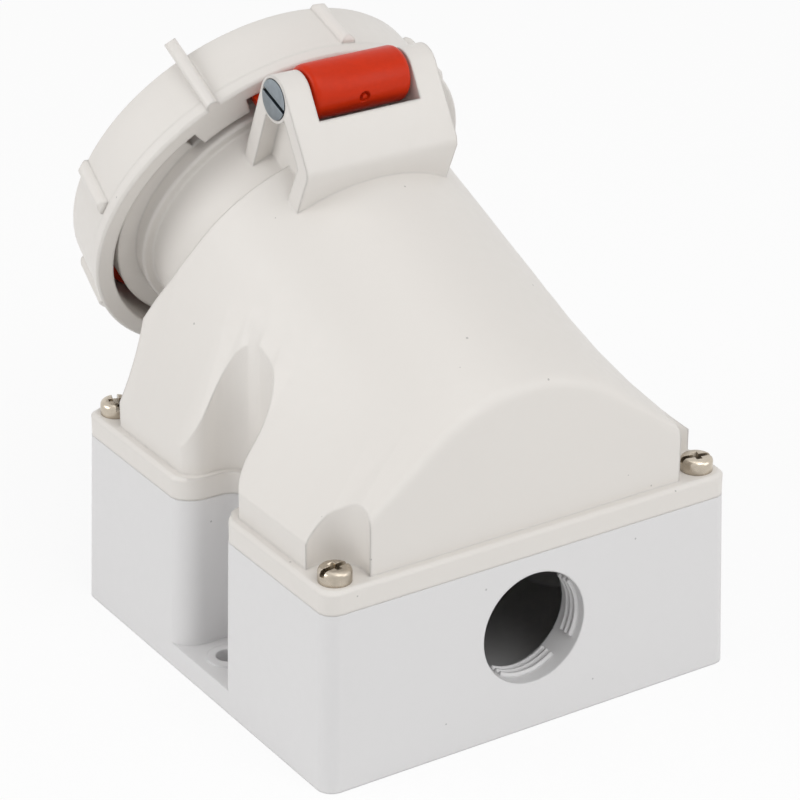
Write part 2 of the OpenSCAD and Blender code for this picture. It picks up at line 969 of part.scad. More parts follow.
// A pan-head screw that holds the insert in the housing
module carrier_screw(a) {
    color(zinc) in_socket()
        rotate([0, 0, a])
            translate([0, -carrier_post_circle, -insert_rear])
                difference() {
                    union() {
                        translate([0, 0, -carrier_head])
                            cylinder(carrier_head, r = carrier_head_radius);
                        translate([0, 0, -eps])
                            cylinder(insert_flange + carrier_screw_length - 2 * over, d = carrier_pilot);
                    }
                    translate([0, 0, -carrier_head])
                        cube([2 * carrier_head_radius + over, slot_width, 2 * slot_depth], center = true);
                }
}

module carrier_screw_1() {
    carrier_screw(-carrier_angle);
}

module carrier_screw_2() {
    carrier_screw(carrier_angle);
}

// Lid and ring

// Half section of the hinge barrel with rounded ends, standing on its axis
module barrel_profile() {
    r = hinge_barrel / 2;
    arc = [for (a = [0:30:90]) [r - barrel_round * (1 - cos(a)), hinge_half - barrel_round * (1 - sin(a))]];
    lower = [for (k = [len(arc) - 1:-1:0]) [arc[k][0], -arc[k][1]]];
    polygon(concat([[0, -hinge_half]], lower, arc, [[0, hinge_half]]));
}

// Where a straight edge from p, given from the pin, touches the hinge barrel
function barrel_touch(p, side) =
    let (r = hinge_barrel / 2, a = atan2(p[1], p[0]) + side * acos(r / norm(p)))
        [-hinge_back + r * cos(a), hinge_out + r * sin(a)];

// The arm that hangs from the lid inside the ring, with a web back to the hinge barrel
module lid_arm() {
    low = [arm_back, arm_inner];
    high = [arm_back + arm_root, arm_outer];
    pin = [-hinge_back, hinge_out];
    translate([0, 0, arm_back])
        linear_extrude(lid_under - arm_back + edge_break)
            sector(-arm_angle, arm_angle, arm_inner, arm_outer);
    along_x(barrel_round - hinge_half, hinge_half - barrel_round)
        polygon([
            low,
            [high[0], low[1]],
            high,
            barrel_touch(high - pin, 1),
            pin,
            barrel_touch(low - pin, -1)]);
}

module lid() {
    color(red) in_socket() difference() {
        union() {
            rotate_extrude()
                polygon([
                    [0, lid_under],
                    [lid_rim - edge_break, lid_under],
                    [lid_rim, lid_under + edge_break],
                    [lid_rim, lid_under + lid_disc],
                    [lid_boss, lid_under + lid_disc],
                    [lid_boss, ring_lip_bottom + ring_lip + lid_clearance],
                    [ring_opening + bead_overlap, ring_lip_bottom + ring_lip + lid_clearance],
                    [ring_opening + bead_overlap - edge_break, lid_face],
                    [0, lid_face]]);
            lid_arm();
            translate([0, -hinge_out, -hinge_back])
                rotate([0, 90, 0])
                    rotate_extrude()
                        barrel_profile();
        }
        translate([0, 0, lid_under - over])
            cylinder(lid_face - lid_front - lid_under + over, r = lid_hollow);
        translate([0, 0, lid_under - over])
            linear_extrude(seal_thickness + over)
                difference() {
                    circle(seal_middle + seal_width / 2);
                    circle(seal_middle - seal_width / 2);
                }
        along_x(-2 * hinge_half, 2 * hinge_half)
            translate([-hinge_back, hinge_out])
                circle(pin_diameter / 2 + pin_clearance);
        translate([0, -hinge_out, -hinge_back])
            rotate([gate_turn, 0, 0])
                translate([0, -hinge_barrel / 2, 0])
                    difference() {
                        sphere(gate_radius);
                        rotate([-90, 0, 0])
                            cylinder(2 * gate_radius, r = gate_nub);
                    }
    }
}

module lid_seal() {
    color(rubber) in_socket()
        translate([0, 0, lid_under])
            linear_extrude(seal_thickness)
                difference() {
                    circle(seal_middle + seal_width / 2 - slack);
                    circle(seal_middle - seal_width / 2 + slack);
                }
}

// A small half-round rib that follows the taper of the ring
module ring_rib() {
    middle = (rib_from + rib_to) / 2;
    at = ring_radius - ring_step - (middle - ring_start) * tan(ring_slope);
    half = (rib_to - rib_from) / 2;
    translate([0, -at, middle])
        rotate([-ring_slope, 0, 0])
            intersection() {
                translate([0, rib_radius - rib_height, -half - rib_radius])
                    cylinder(2 * (half + rib_radius), r = rib_radius);
                along_x(-rib_radius, rib_radius)
                    polygon([
                        [-half - rib_tip, -rib_root],
                        [-half - rib_tip, rib_height - rib_tip],
                        [-half, rib_height],
                        [half, rib_height],
                        [half + rib_tip, rib_height - rib_tip],
                        [half + rib_tip, -rib_root]]);
            }
}

// The finger rib: a side view stood across the ring wall, with a round crest
module finger_rib() {
    top = ring_end + finger_proud;
    nose = finger_width / 2;
    intersection() {
        along_x(-nose, nose) {
            polygon([
                [ring_start, ring_bore + over],
                [ring_start, finger_radius],
                [top - nose, finger_radius],
                [top - nose, ring_bore - over],
                [ring_lip_bottom + over, ring_bore - over],
                [ring_lip_bottom + over, ring_bore + over]]);
            translate([top - nose, finger_radius - nose])
                circle(nose);
            translate([top - nose - eps, ring_bore - over])
                square([nose + eps, finger_radius - nose - ring_bore + over]);
        }
        translate([0, 0, ring_start])
            linear_extrude(top - ring_start) {
                translate([-nose, nose - finger_radius])
                    square([finger_width, finger_radius]);
                translate([0, nose - finger_radius])
                    circle(nose);
            }
    }
}

module bayonet_ring() {
    wall_at = ring_radius - (ring_band - ring_start) * tan(ring_slope);
    color(offwhite) in_socket() {
        rotate_extrude()
            polygon([
                [ring_bore, ring_start],
                [ring_radius - edge_break, ring_start],
                [ring_radius, ring_start + edge_break],
                [wall_at, ring_band],
                [wall_at - ring_step, ring_band + ring_step],
                [ring_front_radius - ring_step, ring_end - ring_round],
                [ring_front_radius - ring_step - ring_round / 3, ring_end - ring_round / 3],
                [ring_front_radius - ring_step - ring_round, ring_end],
                [ring_bore - 2 * over, ring_end],
                [ring_opening, ring_lip_bottom + ring_lip],
                [ring_opening, ring_lip_bottom],
                [ring_bore, ring_lip_bottom]]);
        for (a = [0, 180])
            translate([0, 0, ring_start])
                linear_extrude(lug_height)
                    sector(a + lug_first, a + lug_first + lug_angle, lug_radius, ring_bore + over);
        for (k = [1:rib_count - 1])
            rotate([0, 0, rib_angle + k * 360 / rib_count])
                ring_rib();
        rotate([0, 0, rib_angle])
            finger_rib();
    }
}

module hinge_pin() {
    color(zinc) in_socket() difference() {
        union() {
            along_x(-bracket_half - pin_proud, pin_head_height - bracket_half)
                translate([-hinge_back, hinge_out])
                    circle(pin_head / 2);
            along_x(-bracket_half, pin_end)
                translate([-hinge_back, hinge_out])
                    circle(pin_diameter / 2);
        }
        translate([-bracket_half - pin_proud, -hinge_out, -hinge_back])
            rotate([pin_slot_turn, 0, 0])
                cube([2 * slot_depth, slot_width, pin_head + over], center = true);
    }
}

base_box();
cover_gasket();
cover_housing();
cover_screw_1();
cover_screw_2();
cover_screw_3();
cover_screw_4();
contact_carrier();
terminal_carrier();
contact_l1();
contact_l2();
contact_l3();
contact_n();
contact_pe();
contact_spring_l1();
contact_spring_l2();
contact_spring_l3();
contact_spring_n();
contact_spring_pe();
terminal_screw_l1();
terminal_screw_l2();
terminal_screw_l3();
terminal_screw_n();
terminal_screw_pe();
carrier_screw_1();
carrier_screw_2();
lid();
lid_seal();
bayonet_ring();
hinge_pin();
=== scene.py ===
"""Looks of a surface-mounted industrial wall socket with a hinged lid and a bayonet ring.

Soft edges on the mouldings, the cover screws, the thread of the cable entry and the finishes,
with a pale floor, soft light and a camera.
"""
import json
import math

import bmesh
import bpy
from bpy.props import FloatProperty, FloatVectorProperty, IntProperty, PointerProperty
from mathutils import Matrix, Vector


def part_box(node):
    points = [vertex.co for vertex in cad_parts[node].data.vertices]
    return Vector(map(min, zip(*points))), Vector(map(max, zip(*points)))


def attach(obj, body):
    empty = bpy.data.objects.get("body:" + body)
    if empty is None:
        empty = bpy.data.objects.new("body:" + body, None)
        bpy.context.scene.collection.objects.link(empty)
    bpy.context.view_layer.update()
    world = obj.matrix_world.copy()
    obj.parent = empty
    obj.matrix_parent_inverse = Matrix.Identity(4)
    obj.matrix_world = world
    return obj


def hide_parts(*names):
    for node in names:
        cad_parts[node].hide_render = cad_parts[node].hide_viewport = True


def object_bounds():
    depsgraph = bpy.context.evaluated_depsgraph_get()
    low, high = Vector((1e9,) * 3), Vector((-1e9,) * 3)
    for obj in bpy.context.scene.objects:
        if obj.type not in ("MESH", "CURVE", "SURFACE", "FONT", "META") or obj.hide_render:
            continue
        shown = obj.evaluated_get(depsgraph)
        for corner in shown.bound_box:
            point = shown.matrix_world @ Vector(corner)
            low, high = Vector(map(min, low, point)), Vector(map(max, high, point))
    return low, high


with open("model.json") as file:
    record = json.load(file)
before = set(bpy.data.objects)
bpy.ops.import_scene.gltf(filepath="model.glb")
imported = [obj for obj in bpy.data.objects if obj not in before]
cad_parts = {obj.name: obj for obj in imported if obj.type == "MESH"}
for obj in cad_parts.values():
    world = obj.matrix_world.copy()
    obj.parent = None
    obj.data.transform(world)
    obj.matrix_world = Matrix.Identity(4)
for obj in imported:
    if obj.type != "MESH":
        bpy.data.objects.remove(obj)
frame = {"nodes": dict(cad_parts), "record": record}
CAD_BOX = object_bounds()

bl_info = {
    "name": "Industrial wall socket",
    "version": (1, 0, 0),
    "blender": (4, 5, 0),
    "location": "3D View > Sidebar > Socket",
    "description": "Soft edges, cover screws, thread, finishes and stage of an industrial wall socket",
    "category": "Object",
}

MM = 0.001
POLES = ("l1", "l2", "l3", "n", "pe")

# Shaping: points that are one point, points on a plane, and the bend past which an edge stays sharp
MERGE_DISTANCE = 0.002 * MM
PLANE_TOLERANCE = 0.01 * MM
SMOOTH_LIMIT = math.radians(32)

# Cover screws: head height of the solids, how far each one is driven, in degrees, and the make of a head
SOLID_HEAD = 2.8 * MM
SCREW_TURNS = (8, -14, 71, 40)
SCREW_STEPS = 48
RIM_SEGMENTS = 5
CROSS_TAPER = 0.35

# Thread ridge: half widths of its foot and crest as shares of the pitch, and how deep the foot is sunk
RIDGE_FOOT = 0.4
RIDGE_CREST = 0.12
RIDGE_SUNK = 0.1 * MM
RIDGE_STEPS = 16

# Finishes: depths of the grain, how dark the specks are, how far the painted shade in a recess reaches out
# of it, samples
GRAIN_DEPTH = 0.1 * MM
FLOW_DEPTH = 0.2 * MM
SCRATCH_DEPTH = 0.05 * MM
SPECK_STRENGTH = 0.55
PAINTED_SHADE_REACH = 1.6 * MM
EDGE_SAMPLES = 6
PAINTED_SHADE_SAMPLES = 8

# Numbers of the colour sockets of a Mix node
MIX_FIRST, MIX_SECOND, MIX_RESULT = 6, 7, 2

# Stage: where each light stands, turned from the cable entry's side and lifted, in degrees
LIGHTS = {"side": (-105, 20), "front": (0, 50), "right": (35, 20), "top": (0, 88)}
LIGHT_SIZE = 0.9
LIGHT_DISTANCE = 1.5
FLOOR_DROP = 0.1 * MM
FLOOR_GREY = (0.86, 0.86, 0.86, 1)
WHITE = (1, 1, 1, 1)
SENSOR_WIDTH = 36
NEAREST = 0.01


def srgb(red, green, blue):
    """A colour picked in eight-bit screen values, as linear light."""
    def linear(value):
        value = value / 255
        return value / 12.92 if value <= 0.04045 else ((value + 0.055) / 1.055) ** 2.4
    return (linear(red), linear(green), linear(blue))


# Kinds of property

def length(name, about, millimetres):
    return FloatProperty(name=name, description=about, default=millimetres * MM, min=0, unit="LENGTH",
                         precision=5)


def angle(name, about, degrees):
    return FloatProperty(name=name, description=about, default=math.radians(degrees), subtype="ANGLE")


def colour(name, about, red, green, blue):
    return FloatVectorProperty(name=name, description=about, default=srgb(red, green, blue), min=0, max=1,
                               subtype="COLOR")


def power(name, about, watts):
    return FloatProperty(name=name, description=about, default=watts, min=0, subtype="POWER")


def share(name, about, value):
    return FloatProperty(name=name, description=about, default=value, min=0, max=1, subtype="FACTOR")


# Sizes, colours and stage that a user would change

class SocketSizes(bpy.types.PropertyGroup):
    """Soft edges, cover screws and the cable thread"""

    box_edge: length("Box edge", "Rounding of the box's edges", 0.6)
    cover_edge: length("Cover edge", "Rounding of the cover's and ring's edges", 0.9)
    lid_edge: length("Lid edge", "Rounding of the lid's and inserts' edges", 0.4)
    screw_edge: length("Screw edge", "Fine rounding of the screws' edges", 0.12)
    screw_head: length("Screw head", "Diameter of a cover screw's head", 7)
    screw_height: length("Screw height", "Height of a cover screw's head", 3.1)
    screw_round: length("Screw rounding", "Rounding of a head's upper edge", 1.1)
    screw_shank: length("Screw shank", "Diameter of a cover screw's shank", 4)
    slot_width: length("Slot width", "Width of a cover screw's slot", 1.3)
    slot_depth: length("Slot depth", "Depth of a cover screw's slot", 1.4)
    cross_width: length("Cross width", "Width of a wing of the cross", 2)
    cross_length: length("Cross length", "Length across the cross", 5)
    cross_depth: length("Cross depth", "Depth of the cross", 2)
    thread_pitch: length("Thread pitch", "Distance from one thread ridge to the next", 1.5)
    thread_height: length("Thread height", "How far a ridge stands out of the bore", 0.75)
    thread_start: length("Thread start", "Smooth lead-in before the thread", 2.2)
    thread_turns: IntProperty(name="Thread turns", description="Number of thread ridges", default=3, min=1)
    thread_gap: angle("Thread gap", "Angle of each break in the thread", 24)
    thread_turn: angle("Thread turn", "Where the first break stands", -42)


class SocketColours(bpy.types.PropertyGroup):
    """Colours of the finishes"""

    box_grey: colour("Box grey", "Cool light grey of the box", 218, 217, 217)
    cover_white: colour("Cover white", "Warm off-white of the cover and ring", 220, 216, 211)
    lid_red: colour("Lid red", "Red of the lid", 200, 47, 10)
    insert_grey: colour("Insert grey", "Dark grey of the insulating inserts", 36, 36, 38)
    rubber_black: colour("Rubber black", "Black of the seals", 30, 30, 31)
    nickel: colour("Nickel", "Warm nickel of the cover screws", 205, 194, 178)
    zinc: colour("Zinc", "Blue-grey zinc of the pin and clamping screws", 168, 178, 186)
    brass: colour("Brass", "Brass of the contacts", 214, 176, 96)


class SocketStage(bpy.types.PropertyGroup):
    """Camera, floor and light"""

    azimuth: angle("Azimuth", "Camera direction round the object", -33.22)
    elevation: angle("Elevation", "Camera height over the horizon", 25.94)
    roll: angle("Roll", "Camera roll", 0.3)
    target: FloatVectorProperty(name="Target", description="Point that the camera looks at",
                                default=(16.14 * MM, 25.46 * MM, 40 * MM), subtype="XYZ", unit="LENGTH")
    distance: length("Distance", "Camera distance from the target", 758.19)
    lens: FloatProperty(name="Lens", description="Focal length on a 36 mm sensor, in millimetres",
                        default=153.92)
    floor_size: length("Floor size", "Side of the floor", 6000)
    sky: FloatProperty(name="Sky", description="Strength of the light from all round", default=0.5, min=0)
    side: power("Side light", "Strength of the low light on the left", 8)
    front: power("Front light", "Strength of the high light in front", 6)
    right: power("Right light", "Strength of the low light on the right", 4.5)
    top: power("Top light", "Strength of the light overhead", 2.2)
    floor_glow: share("Floor glow", "Share of plain white in the floor that the camera sees", 0.88)


# Node helpers

def add_node(tree, kind, inputs=None, **settings):
    """A node with its settings, each input either linked or set."""
    node = tree.nodes.new(kind)
    for key, value in settings.items():
        setattr(node, key, value)
    for key, value in (inputs or {}).items():
        set_input(tree, node.inputs[key], value)
    return node


def set_input(tree, socket, value):
    if isinstance(value, bpy.types.NodeSocket):
        tree.links.new(value, socket)
    else:
        socket.default_value = value


def new_material(name):
    material = bpy.data.materials.new(name)
    material.use_nodes = True
    tree = material.node_tree
    return material, tree, tree.nodes["Principled BSDF"]


def place_on_object(tree, scale=(1, 1, 1)):
    where = add_node(tree, "ShaderNodeTexCoord").outputs["Object"]
    return add_node(tree, "ShaderNodeMapping", {"Vector": where, "Scale": scale}).outputs["Vector"]


def noise(tree, where, scale, detail):
    inputs = {"Vector": where, "Scale": scale, "Detail": detail}
    return add_node(tree, "ShaderNodeTexNoise", inputs).outputs["Fac"]


def remap(tree, value, low, high, from_low=0.3, from_high=0.7):
    inputs = {"Value": value, "From Min": from_low, "From Max": from_high, "To Min": low, "To Max": high}
    return add_node(tree, "ShaderNodeMapRange", inputs).outputs["Result"]


def calculate(tree, operation, first, second):
    return add_node(tree, "ShaderNodeMath", {0: first, 1: second}, operation=operation).outputs[0]


def mix_colour(tree, factor, first, second):
    inputs = {"Factor": factor, MIX_FIRST: first, MIX_SECOND: second}
    return add_node(tree, "ShaderNodeMix", inputs, data_type="RGBA").outputs[MIX_RESULT]


def tone(rgb, factor=1):
    """A lighter or darker tone of a colour."""
    return (*(min(channel * factor, 1) for channel in rgb), 1)


def bump(tree, height, strength, distance, edge=0):
    """Surface grain, over edges that are softened by a radius."""
    inputs = {"Height": height, "Strength": strength, "Distance": distance}
    if edge:
        soft = add_node(tree, "ShaderNodeBevel", {"Radius": edge}, samples=EDGE_SAMPLES)
        inputs["Normal"] = soft.outputs["Normal"]
    return add_node(tree, "ShaderNodeBump", inputs).outputs["Normal"]


def dress(tree, shader, tint, gloss, relief):
    """Joins a finish's colour, roughness and grain to its shader."""
    for key, value in (("Base Color", tint), ("Roughness", gloss), ("Normal", relief)):
        tree.links.new(value, shader.inputs[key])


# Finishes

def specks(tree, where, cells, size, rarity):
    """Rare dust specks: the middles of some of the cells."""
    cell = add_node(tree, "ShaderNodeTexVoronoi", {"Vector": where, "Scale": cells})
    near = calculate(tree, "LESS_THAN", cell.outputs["Distance"], size)
    chance = add_node(tree, "ShaderNodeSeparateColor", {"Color": cell.outputs["Color"]}).outputs["Red"]
    return calculate(tree, "MULTIPLY", near, calculate(tree, "GREATER_THAN", chance, rarity))


def moulded_plastic(name, rgb, drift, roughness, grain, edge):
    """Injection-moulded plastic: a slow drift of tint, fine mottling, a satin grain and rare specks."""
    material, tree, shader = new_material(name)
    where = place_on_object(tree)
    clouds = noise(tree, where, scale=26, detail=3)
    mottle = noise(tree, where, scale=420, detail=4)
    tint = mix_colour(tree, clouds, tone(rgb, 1 - drift), tone(rgb, 1 + drift))
    tint = mix_colour(tree, remap(tree, mottle, low=0, high=0.5), tint, tone(rgb, 1 - drift / 2))
    dust = specks(tree, where, cells=190, size=0.05, rarity=0.72)
    dust = calculate(tree, "MULTIPLY", dust, SPECK_STRENGTH)
    tint = mix_colour(tree, dust, tint, tone(rgb, factor=0.35))
    gloss = remap(tree, mottle, low=roughness - 0.05, high=roughness + 0.07)
    pores = noise(tree, where, scale=2600, detail=2)
    relief = bump(tree, pores, strength=grain, distance=GRAIN_DEPTH, edge=edge)
    dress(tree, shader, tint, gloss, relief)
    return material


def satin_red(name, rgb, edge):
    """Satin red plastic with faint flow marks."""
    material, tree, shader = new_material(name)
    where = place_on_object(tree)
    flow = noise(tree, place_on_object(tree, scale=(1, 3.5, 3.5)), scale=90, detail=4)
    mottle = noise(tree, where, scale=700, detail=3)
    tint = mix_colour(tree, flow, tone(rgb, factor=0.84), tone(rgb, factor=1.12))
    tint = mix_colour(tree, remap(tree, mottle, low=0, high=0.3), tint, tone(rgb, factor=0.78))
    gloss = remap(tree, flow, low=0.3, high=0.44)
    shader.inputs["Specular IOR Level"].default_value = 0.16
    relief = bump(tree, mottle, strength=0.1, distance=FLOW_DEPTH, edge=edge)
    dress(tree, shader, tint, gloss, relief)
    return material


def seal_rubber(name, rgb):
    """Matt black rubber with a dusty bloom."""
    material, tree, shader = new_material(name)
    where = place_on_object(tree)
    bloom = noise(tree, where, scale=120, detail=5)
    tint = mix_colour(tree, remap(tree, bloom, low=0, high=0.5), tone(rgb), tone(rgb, factor=2.4))
    gloss = remap(tree, bloom, low=0.62, high=0.8)
    pores = noise(tree, where, scale=1800, detail=3)
    relief = bump(tree, pores, strength=0.2, distance=GRAIN_DEPTH)
    dress(tree, shader, tint, gloss, relief)
    return material


def plated_metal(name, rgb, roughness, stain, edge):
    """Plated metal: fine scratches, uneven gloss, patches of stain, and recesses darkened by painted
    shade.
    """
    material, tree, shader = new_material(name)
    where = place_on_object(tree)
    scratches = noise(tree, place_on_object(tree, scale=(1, 1, 6)), scale=900, detail=3)
    patches = noise(tree, where, scale=260, detail=4)
    tint = mix_colour(tree, remap(tree, patches, low=0, high=1), tone(rgb), tone(rgb, 1 - stain))
    # Painted shade: where the ambient occlusion finds a recess, the tint goes down to 0.12 of the metal's
    # colour
    air = add_node(tree, "ShaderNodeAmbientOcclusion", {"Distance": PAINTED_SHADE_REACH}, samples=PAINTED_SHADE_SAMPLES)
    unshaded = remap(tree, air.outputs["AO"], low=0, high=1, from_low=0.15, from_high=0.7)
    tint = mix_colour(tree, unshaded, tone(rgb, factor=0.12), tint)
    gloss = remap(tree, patches, low=roughness - 0.06, high=roughness + 0.12)
    shader.inputs["Metallic"].default_value = 1
    relief = bump(tree, scratches, strength=0.12, distance=SCRATCH_DEPTH, edge=edge)
    dress(tree, shader, tint, gloss, relief)
    return material


def make_finishes(colours, sizes):
    return {
        "base_grey": moulded_plastic("box_plastic", colours.box_grey, drift=0.012, roughness=0.46,
                                     grain=0.05, edge=sizes.box_edge),
        "cover_white": moulded_plastic("cover_plastic", colours.cover_white, drift=0.014, roughness=0.44,
                                       grain=0.06, edge=sizes.cover_edge),
        "lid_red": satin_red("lid_plastic", colours.lid_red, edge=sizes.lid_edge),
        "insert_black": moulded_plastic("insert_plastic", colours.insert_grey, drift=0.05, roughness=0.5,
                                        grain=0.08, edge=sizes.lid_edge),
        "seal_rubber": seal_rubber("seal_rubber", colours.rubber_black),
        "nickel_steel": plated_metal("nickel_plate", colours.nickel, roughness=0.24, stain=0.3,
                                     edge=sizes.screw_edge),
        "zinc_steel": plated_metal("zinc_plate", colours.zinc, roughness=0.34, stain=0.35,
                                   edge=sizes.screw_edge),
        "contact_brass": plated_metal("contact_brass", colours.brass, roughness=0.28, stain=0.25,
                                      edge=sizes.screw_edge),
    }


def finish_of(slot):
    """The material of a finish, made with the others the first time."""
    scene = bpy.context.scene
    known = scene.get("socket_finishes")
    if known is None:
        made = make_finishes(scene.socket_colours, scene.socket_sizes)
        known = {key: material.name for key, material in made.items()}
        scene["socket_finishes"] = known
    return bpy.data.materials[known[slot]]


# Piece helpers

def loose_object(name, shape):
    """A bmesh as an object of the scene."""
    mesh = bpy.data.meshes.new(name)
    shape.to_mesh(mesh)
    shape.free()
    obj = bpy.data.objects.new(name, mesh)
    bpy.context.scene.collection.objects.link(obj)
    return obj


def coat(obj, slot):
    obj.data.materials.clear()
    obj.data.materials.append(finish_of(slot))


def shade(obj):
    """Smooth shading between the sharp edges."""
    obj.data.shade_smooth()
    obj.data.set_sharp_from_angle(angle=SMOOTH_LIMIT)


def add_piece(name, shape, body, slot):
    """A finished bmesh as a piece of the socket."""
    obj = loose_object(name, shape)
    coat(obj, slot)
    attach(obj, body)
    return obj


def moulding(node, name, body, slot):
    """A merged and smoothly shaded copy of a solid, standing for it."""
    shape = bmesh.new()
    shape.from_mesh(frame["nodes"][node].data)
    bmesh.ops.remove_doubles(shape, verts=shape.verts, dist=MERGE_DISTANCE)
    obj = add_piece(name, shape, body, slot)
    stale = obj.data.attributes.get("custom_normal")
    if stale:
        obj.data.attributes.remove(stale)
    shade(obj)
    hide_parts(node)


def finish_node(node, slot):
    """A solid that is shown as it is, with its finish."""
    obj = frame["nodes"][node]
    coat(obj, slot)


# Cover screws

def screw_blank(sizes, centre, seat, foot):
    """A cheese-head screw without its slot: an outline turned about the screw's axis, its rim rounded."""
    shape = bmesh.new()
    head = sizes.screw_head / 2
    shank = sizes.screw_shank / 2
    top = seat + sizes.screw_height
    outline = ((0, foot), (shank, foot), (shank, seat), (head, seat), (head, top), (0, top))
    points = [shape.verts.new((centre.x + radius, centre.y, height)) for radius, height in outline]
    lines = [shape.edges.new(pair) for pair in zip(points, points[1:])]
    bmesh.ops.spin(shape, geom=points + lines, cent=centre, axis=(0, 0, 1), angle=math.tau,
                   steps=SCREW_STEPS, use_merge=True)
    bmesh.ops.remove_doubles(shape, verts=shape.verts, dist=MERGE_DISTANCE)
    bmesh.ops.recalc_face_normals(shape, faces=shape.faces)

    def on_rim(vert):
        return vert.co.z > top - PLANE_TOLERANCE and (vert.co.xy - centre.xy).length > shank

    rim = [edge for edge in shape.edges if all(on_rim(vert) for vert in edge.verts)]
    bmesh.ops.bevel(shape, geom=rim, offset=sizes.screw_round, segments=RIM_SEGMENTS, profile=0.5,
                    affect="EDGES", material=-1)
    return shape


def recess_bar(shape, place, size, taper):
    """A bar that is sunk into a screw's top, its foot narrowed."""
    verts = bmesh.ops.create_cube(shape, size=1)["verts"]
    bmesh.ops.scale(shape, verts=[vert for vert in verts if vert.co.z < 0], vec=(taper, taper, 1))
    bmesh.ops.transform(shape, verts=verts, matrix=place @ Matrix.Diagonal((*size, 1)))


def screw_recess(sizes, centre, top, turn):
    """A slot right across the head and a tapered cross."""
    shape = bmesh.new()
    place = Matrix.Translation((centre.x, centre.y, top)) @ Matrix.Rotation(turn, 4, "Z")
    slot = (2 * sizes.screw_head, sizes.slot_width, 2 * sizes.slot_depth)
    wing = (sizes.cross_length, sizes.cross_width, 2 * sizes.cross_depth)
    recess_bar(shape, place, slot, taper=1)
    for quarter in range(2):
        across = place @ Matrix.Rotation(quarter * math.pi / 2, 4, "Z")
        recess_bar(shape, across, wing, taper=CROSS_TAPER)
    return shape


def carve(shape, recess):
    """A shape with a recess cut out of it."""
    volume = shape.calc_volume()
    blank = loose_object("blank", shape)
    cutter = loose_object("recess", recess)
    cut = blank.modifiers.new("recess", "BOOLEAN")
    cut.operation = "DIFFERENCE"
    cut.solver = "EXACT"
    cut.use_self = True
    cut.object = cutter
    graph = bpy.context.evaluated_depsgraph_get()
    mesh = bpy.data.meshes.new_from_object(blank.evaluated_get(graph))
    carved = bmesh.new()
    carved.from_mesh(mesh)
    if not 0 < carved.calc_volume() < volume:
        raise RuntimeError("The recess wasn't cut")
    # An object goes with its mesh
    for scrap in (blank.data, cutter.data, mesh):
        bpy.data.meshes.remove(scrap)
    return carved


def cover_screw(sizes, node, name, turn):
    low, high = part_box(node)
    centre = Vector(((low[0] + high[0]) / 2, (low[1] + high[1]) / 2, 0))
    seat = high[2] - SOLID_HEAD
    recess = screw_recess(sizes, centre, seat + sizes.screw_height, math.radians(turn))
    shape = carve(screw_blank(sizes, centre, seat, low[2]), recess)
    piece = add_piece(name, shape, "socket", "nickel_steel")
    shade(piece)
    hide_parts(node)


# Cable thread

def thread_ridge(shape, sizes, mouth, axis, bore, depth, start):
    """One quarter turn of a thread ridge with a break after it, swept round the bore."""
    out = Matrix.Rotation(start, 3, axis) @ Vector((1, 0, 0))
    foot = RIDGE_FOOT * sizes.thread_pitch
    crest = RIDGE_CREST * sizes.thread_pitch
    sunk = bore + RIDGE_SUNK
    top = bore - sizes.thread_height
    outline = ((-foot, sunk), (-crest, top), (crest, top), (foot, sunk))
    section = [shape.verts.new(mouth - axis * (depth + along) + out * radius) for along, radius in outline]
    face = shape.faces.new(section)
    sweep = math.pi / 2 - sizes.thread_gap
    advance = -axis * sizes.thread_pitch * sweep / math.tau / RIDGE_STEPS
    bmesh.ops.spin(shape, geom=section + list(face.edges) + [face], cent=mouth, axis=axis, dvec=advance,
                   angle=sweep, steps=RIDGE_STEPS, use_duplicate=False)


def entry_thread(sizes):
    """All ridges of the thread in the cable entry."""
    mount = next(m for m in frame["record"]["mounts"] if m["name"] == "cable_entry")
    axis = Vector(mount["axis"])
    mouth = Vector(mount["pos_m"]) + axis * mount["dims"]["length_mm"] * MM / 2
    bore = mount["dims"]["r_mm"] * MM
    shape = bmesh.new()
    for turn in range(sizes.thread_turns):
        for quarter in range(4):
            depth = sizes.thread_start + (turn + quarter / 4) * sizes.thread_pitch
            start = sizes.thread_turn + sizes.thread_gap / 2 + quarter * math.pi / 2
            thread_ridge(shape, sizes, mouth, axis, bore, depth, start)
    bmesh.ops.recalc_face_normals(shape, faces=shape.faces)
    return shape


# Stage

def seen_directly(tree):
    """1 for rays that show the stage itself: from the camera, by reflection or through something clear."""
    path = add_node(tree, "ShaderNodeLightPath").outputs
    seen = calculate(tree, "MAXIMUM", path["Is Camera Ray"], path["Is Glossy Ray"])
    return calculate(tree, "MAXIMUM", seen, path["Is Transmission Ray"])


def add_floor(stage):
    """A matt floor that takes the shadow, with a share of white where it is seen."""
    shape = bmesh.new()
    bmesh.ops.create_grid(shape, x_segments=1, y_segments=1, size=stage.floor_size / 2)
    bmesh.ops.translate(shape, verts=shape.verts, vec=(0, 0, -FLOOR_DROP))
    floor = loose_object("floor", shape)
    material, tree, shader = new_material("pale_floor")
    tree.nodes.remove(shader)
    matt = add_node(tree, "ShaderNodeBsdfDiffuse", {"Color": FLOOR_GREY}).outputs[0]
    white = add_node(tree, "ShaderNodeEmission").outputs[0]
    glow = calculate(tree, "MULTIPLY", seen_directly(tree), stage.floor_glow)
    blend = add_node(tree, "ShaderNodeMixShader", {0: glow, 1: matt, 2: white}).outputs[0]
    tree.links.new(blend, tree.nodes["Material Output"].inputs["Surface"])
    floor.data.materials.append(material)


def add_world(stage):
    """Even light from all round, plain white where it is seen."""
    world = bpy.data.worlds.new("studio")
    world.use_nodes = True
    tree = world.node_tree
    shader = tree.nodes["Background"]
    strength = remap(tree, seen_directly(tree), low=stage.sky, high=1, from_low=0, from_high=1)
    shader.inputs["Color"].default_value = WHITE
    tree.links.new(strength, shader.inputs["Strength"])
    bpy.context.scene.world = world


def direction(turn, lift):
    """The way from the object to a camera or light, turned from the cable entry's side and lifted."""
    return Vector((math.sin(turn) * math.cos(lift), -math.cos(turn) * math.cos(lift), math.sin(lift)))


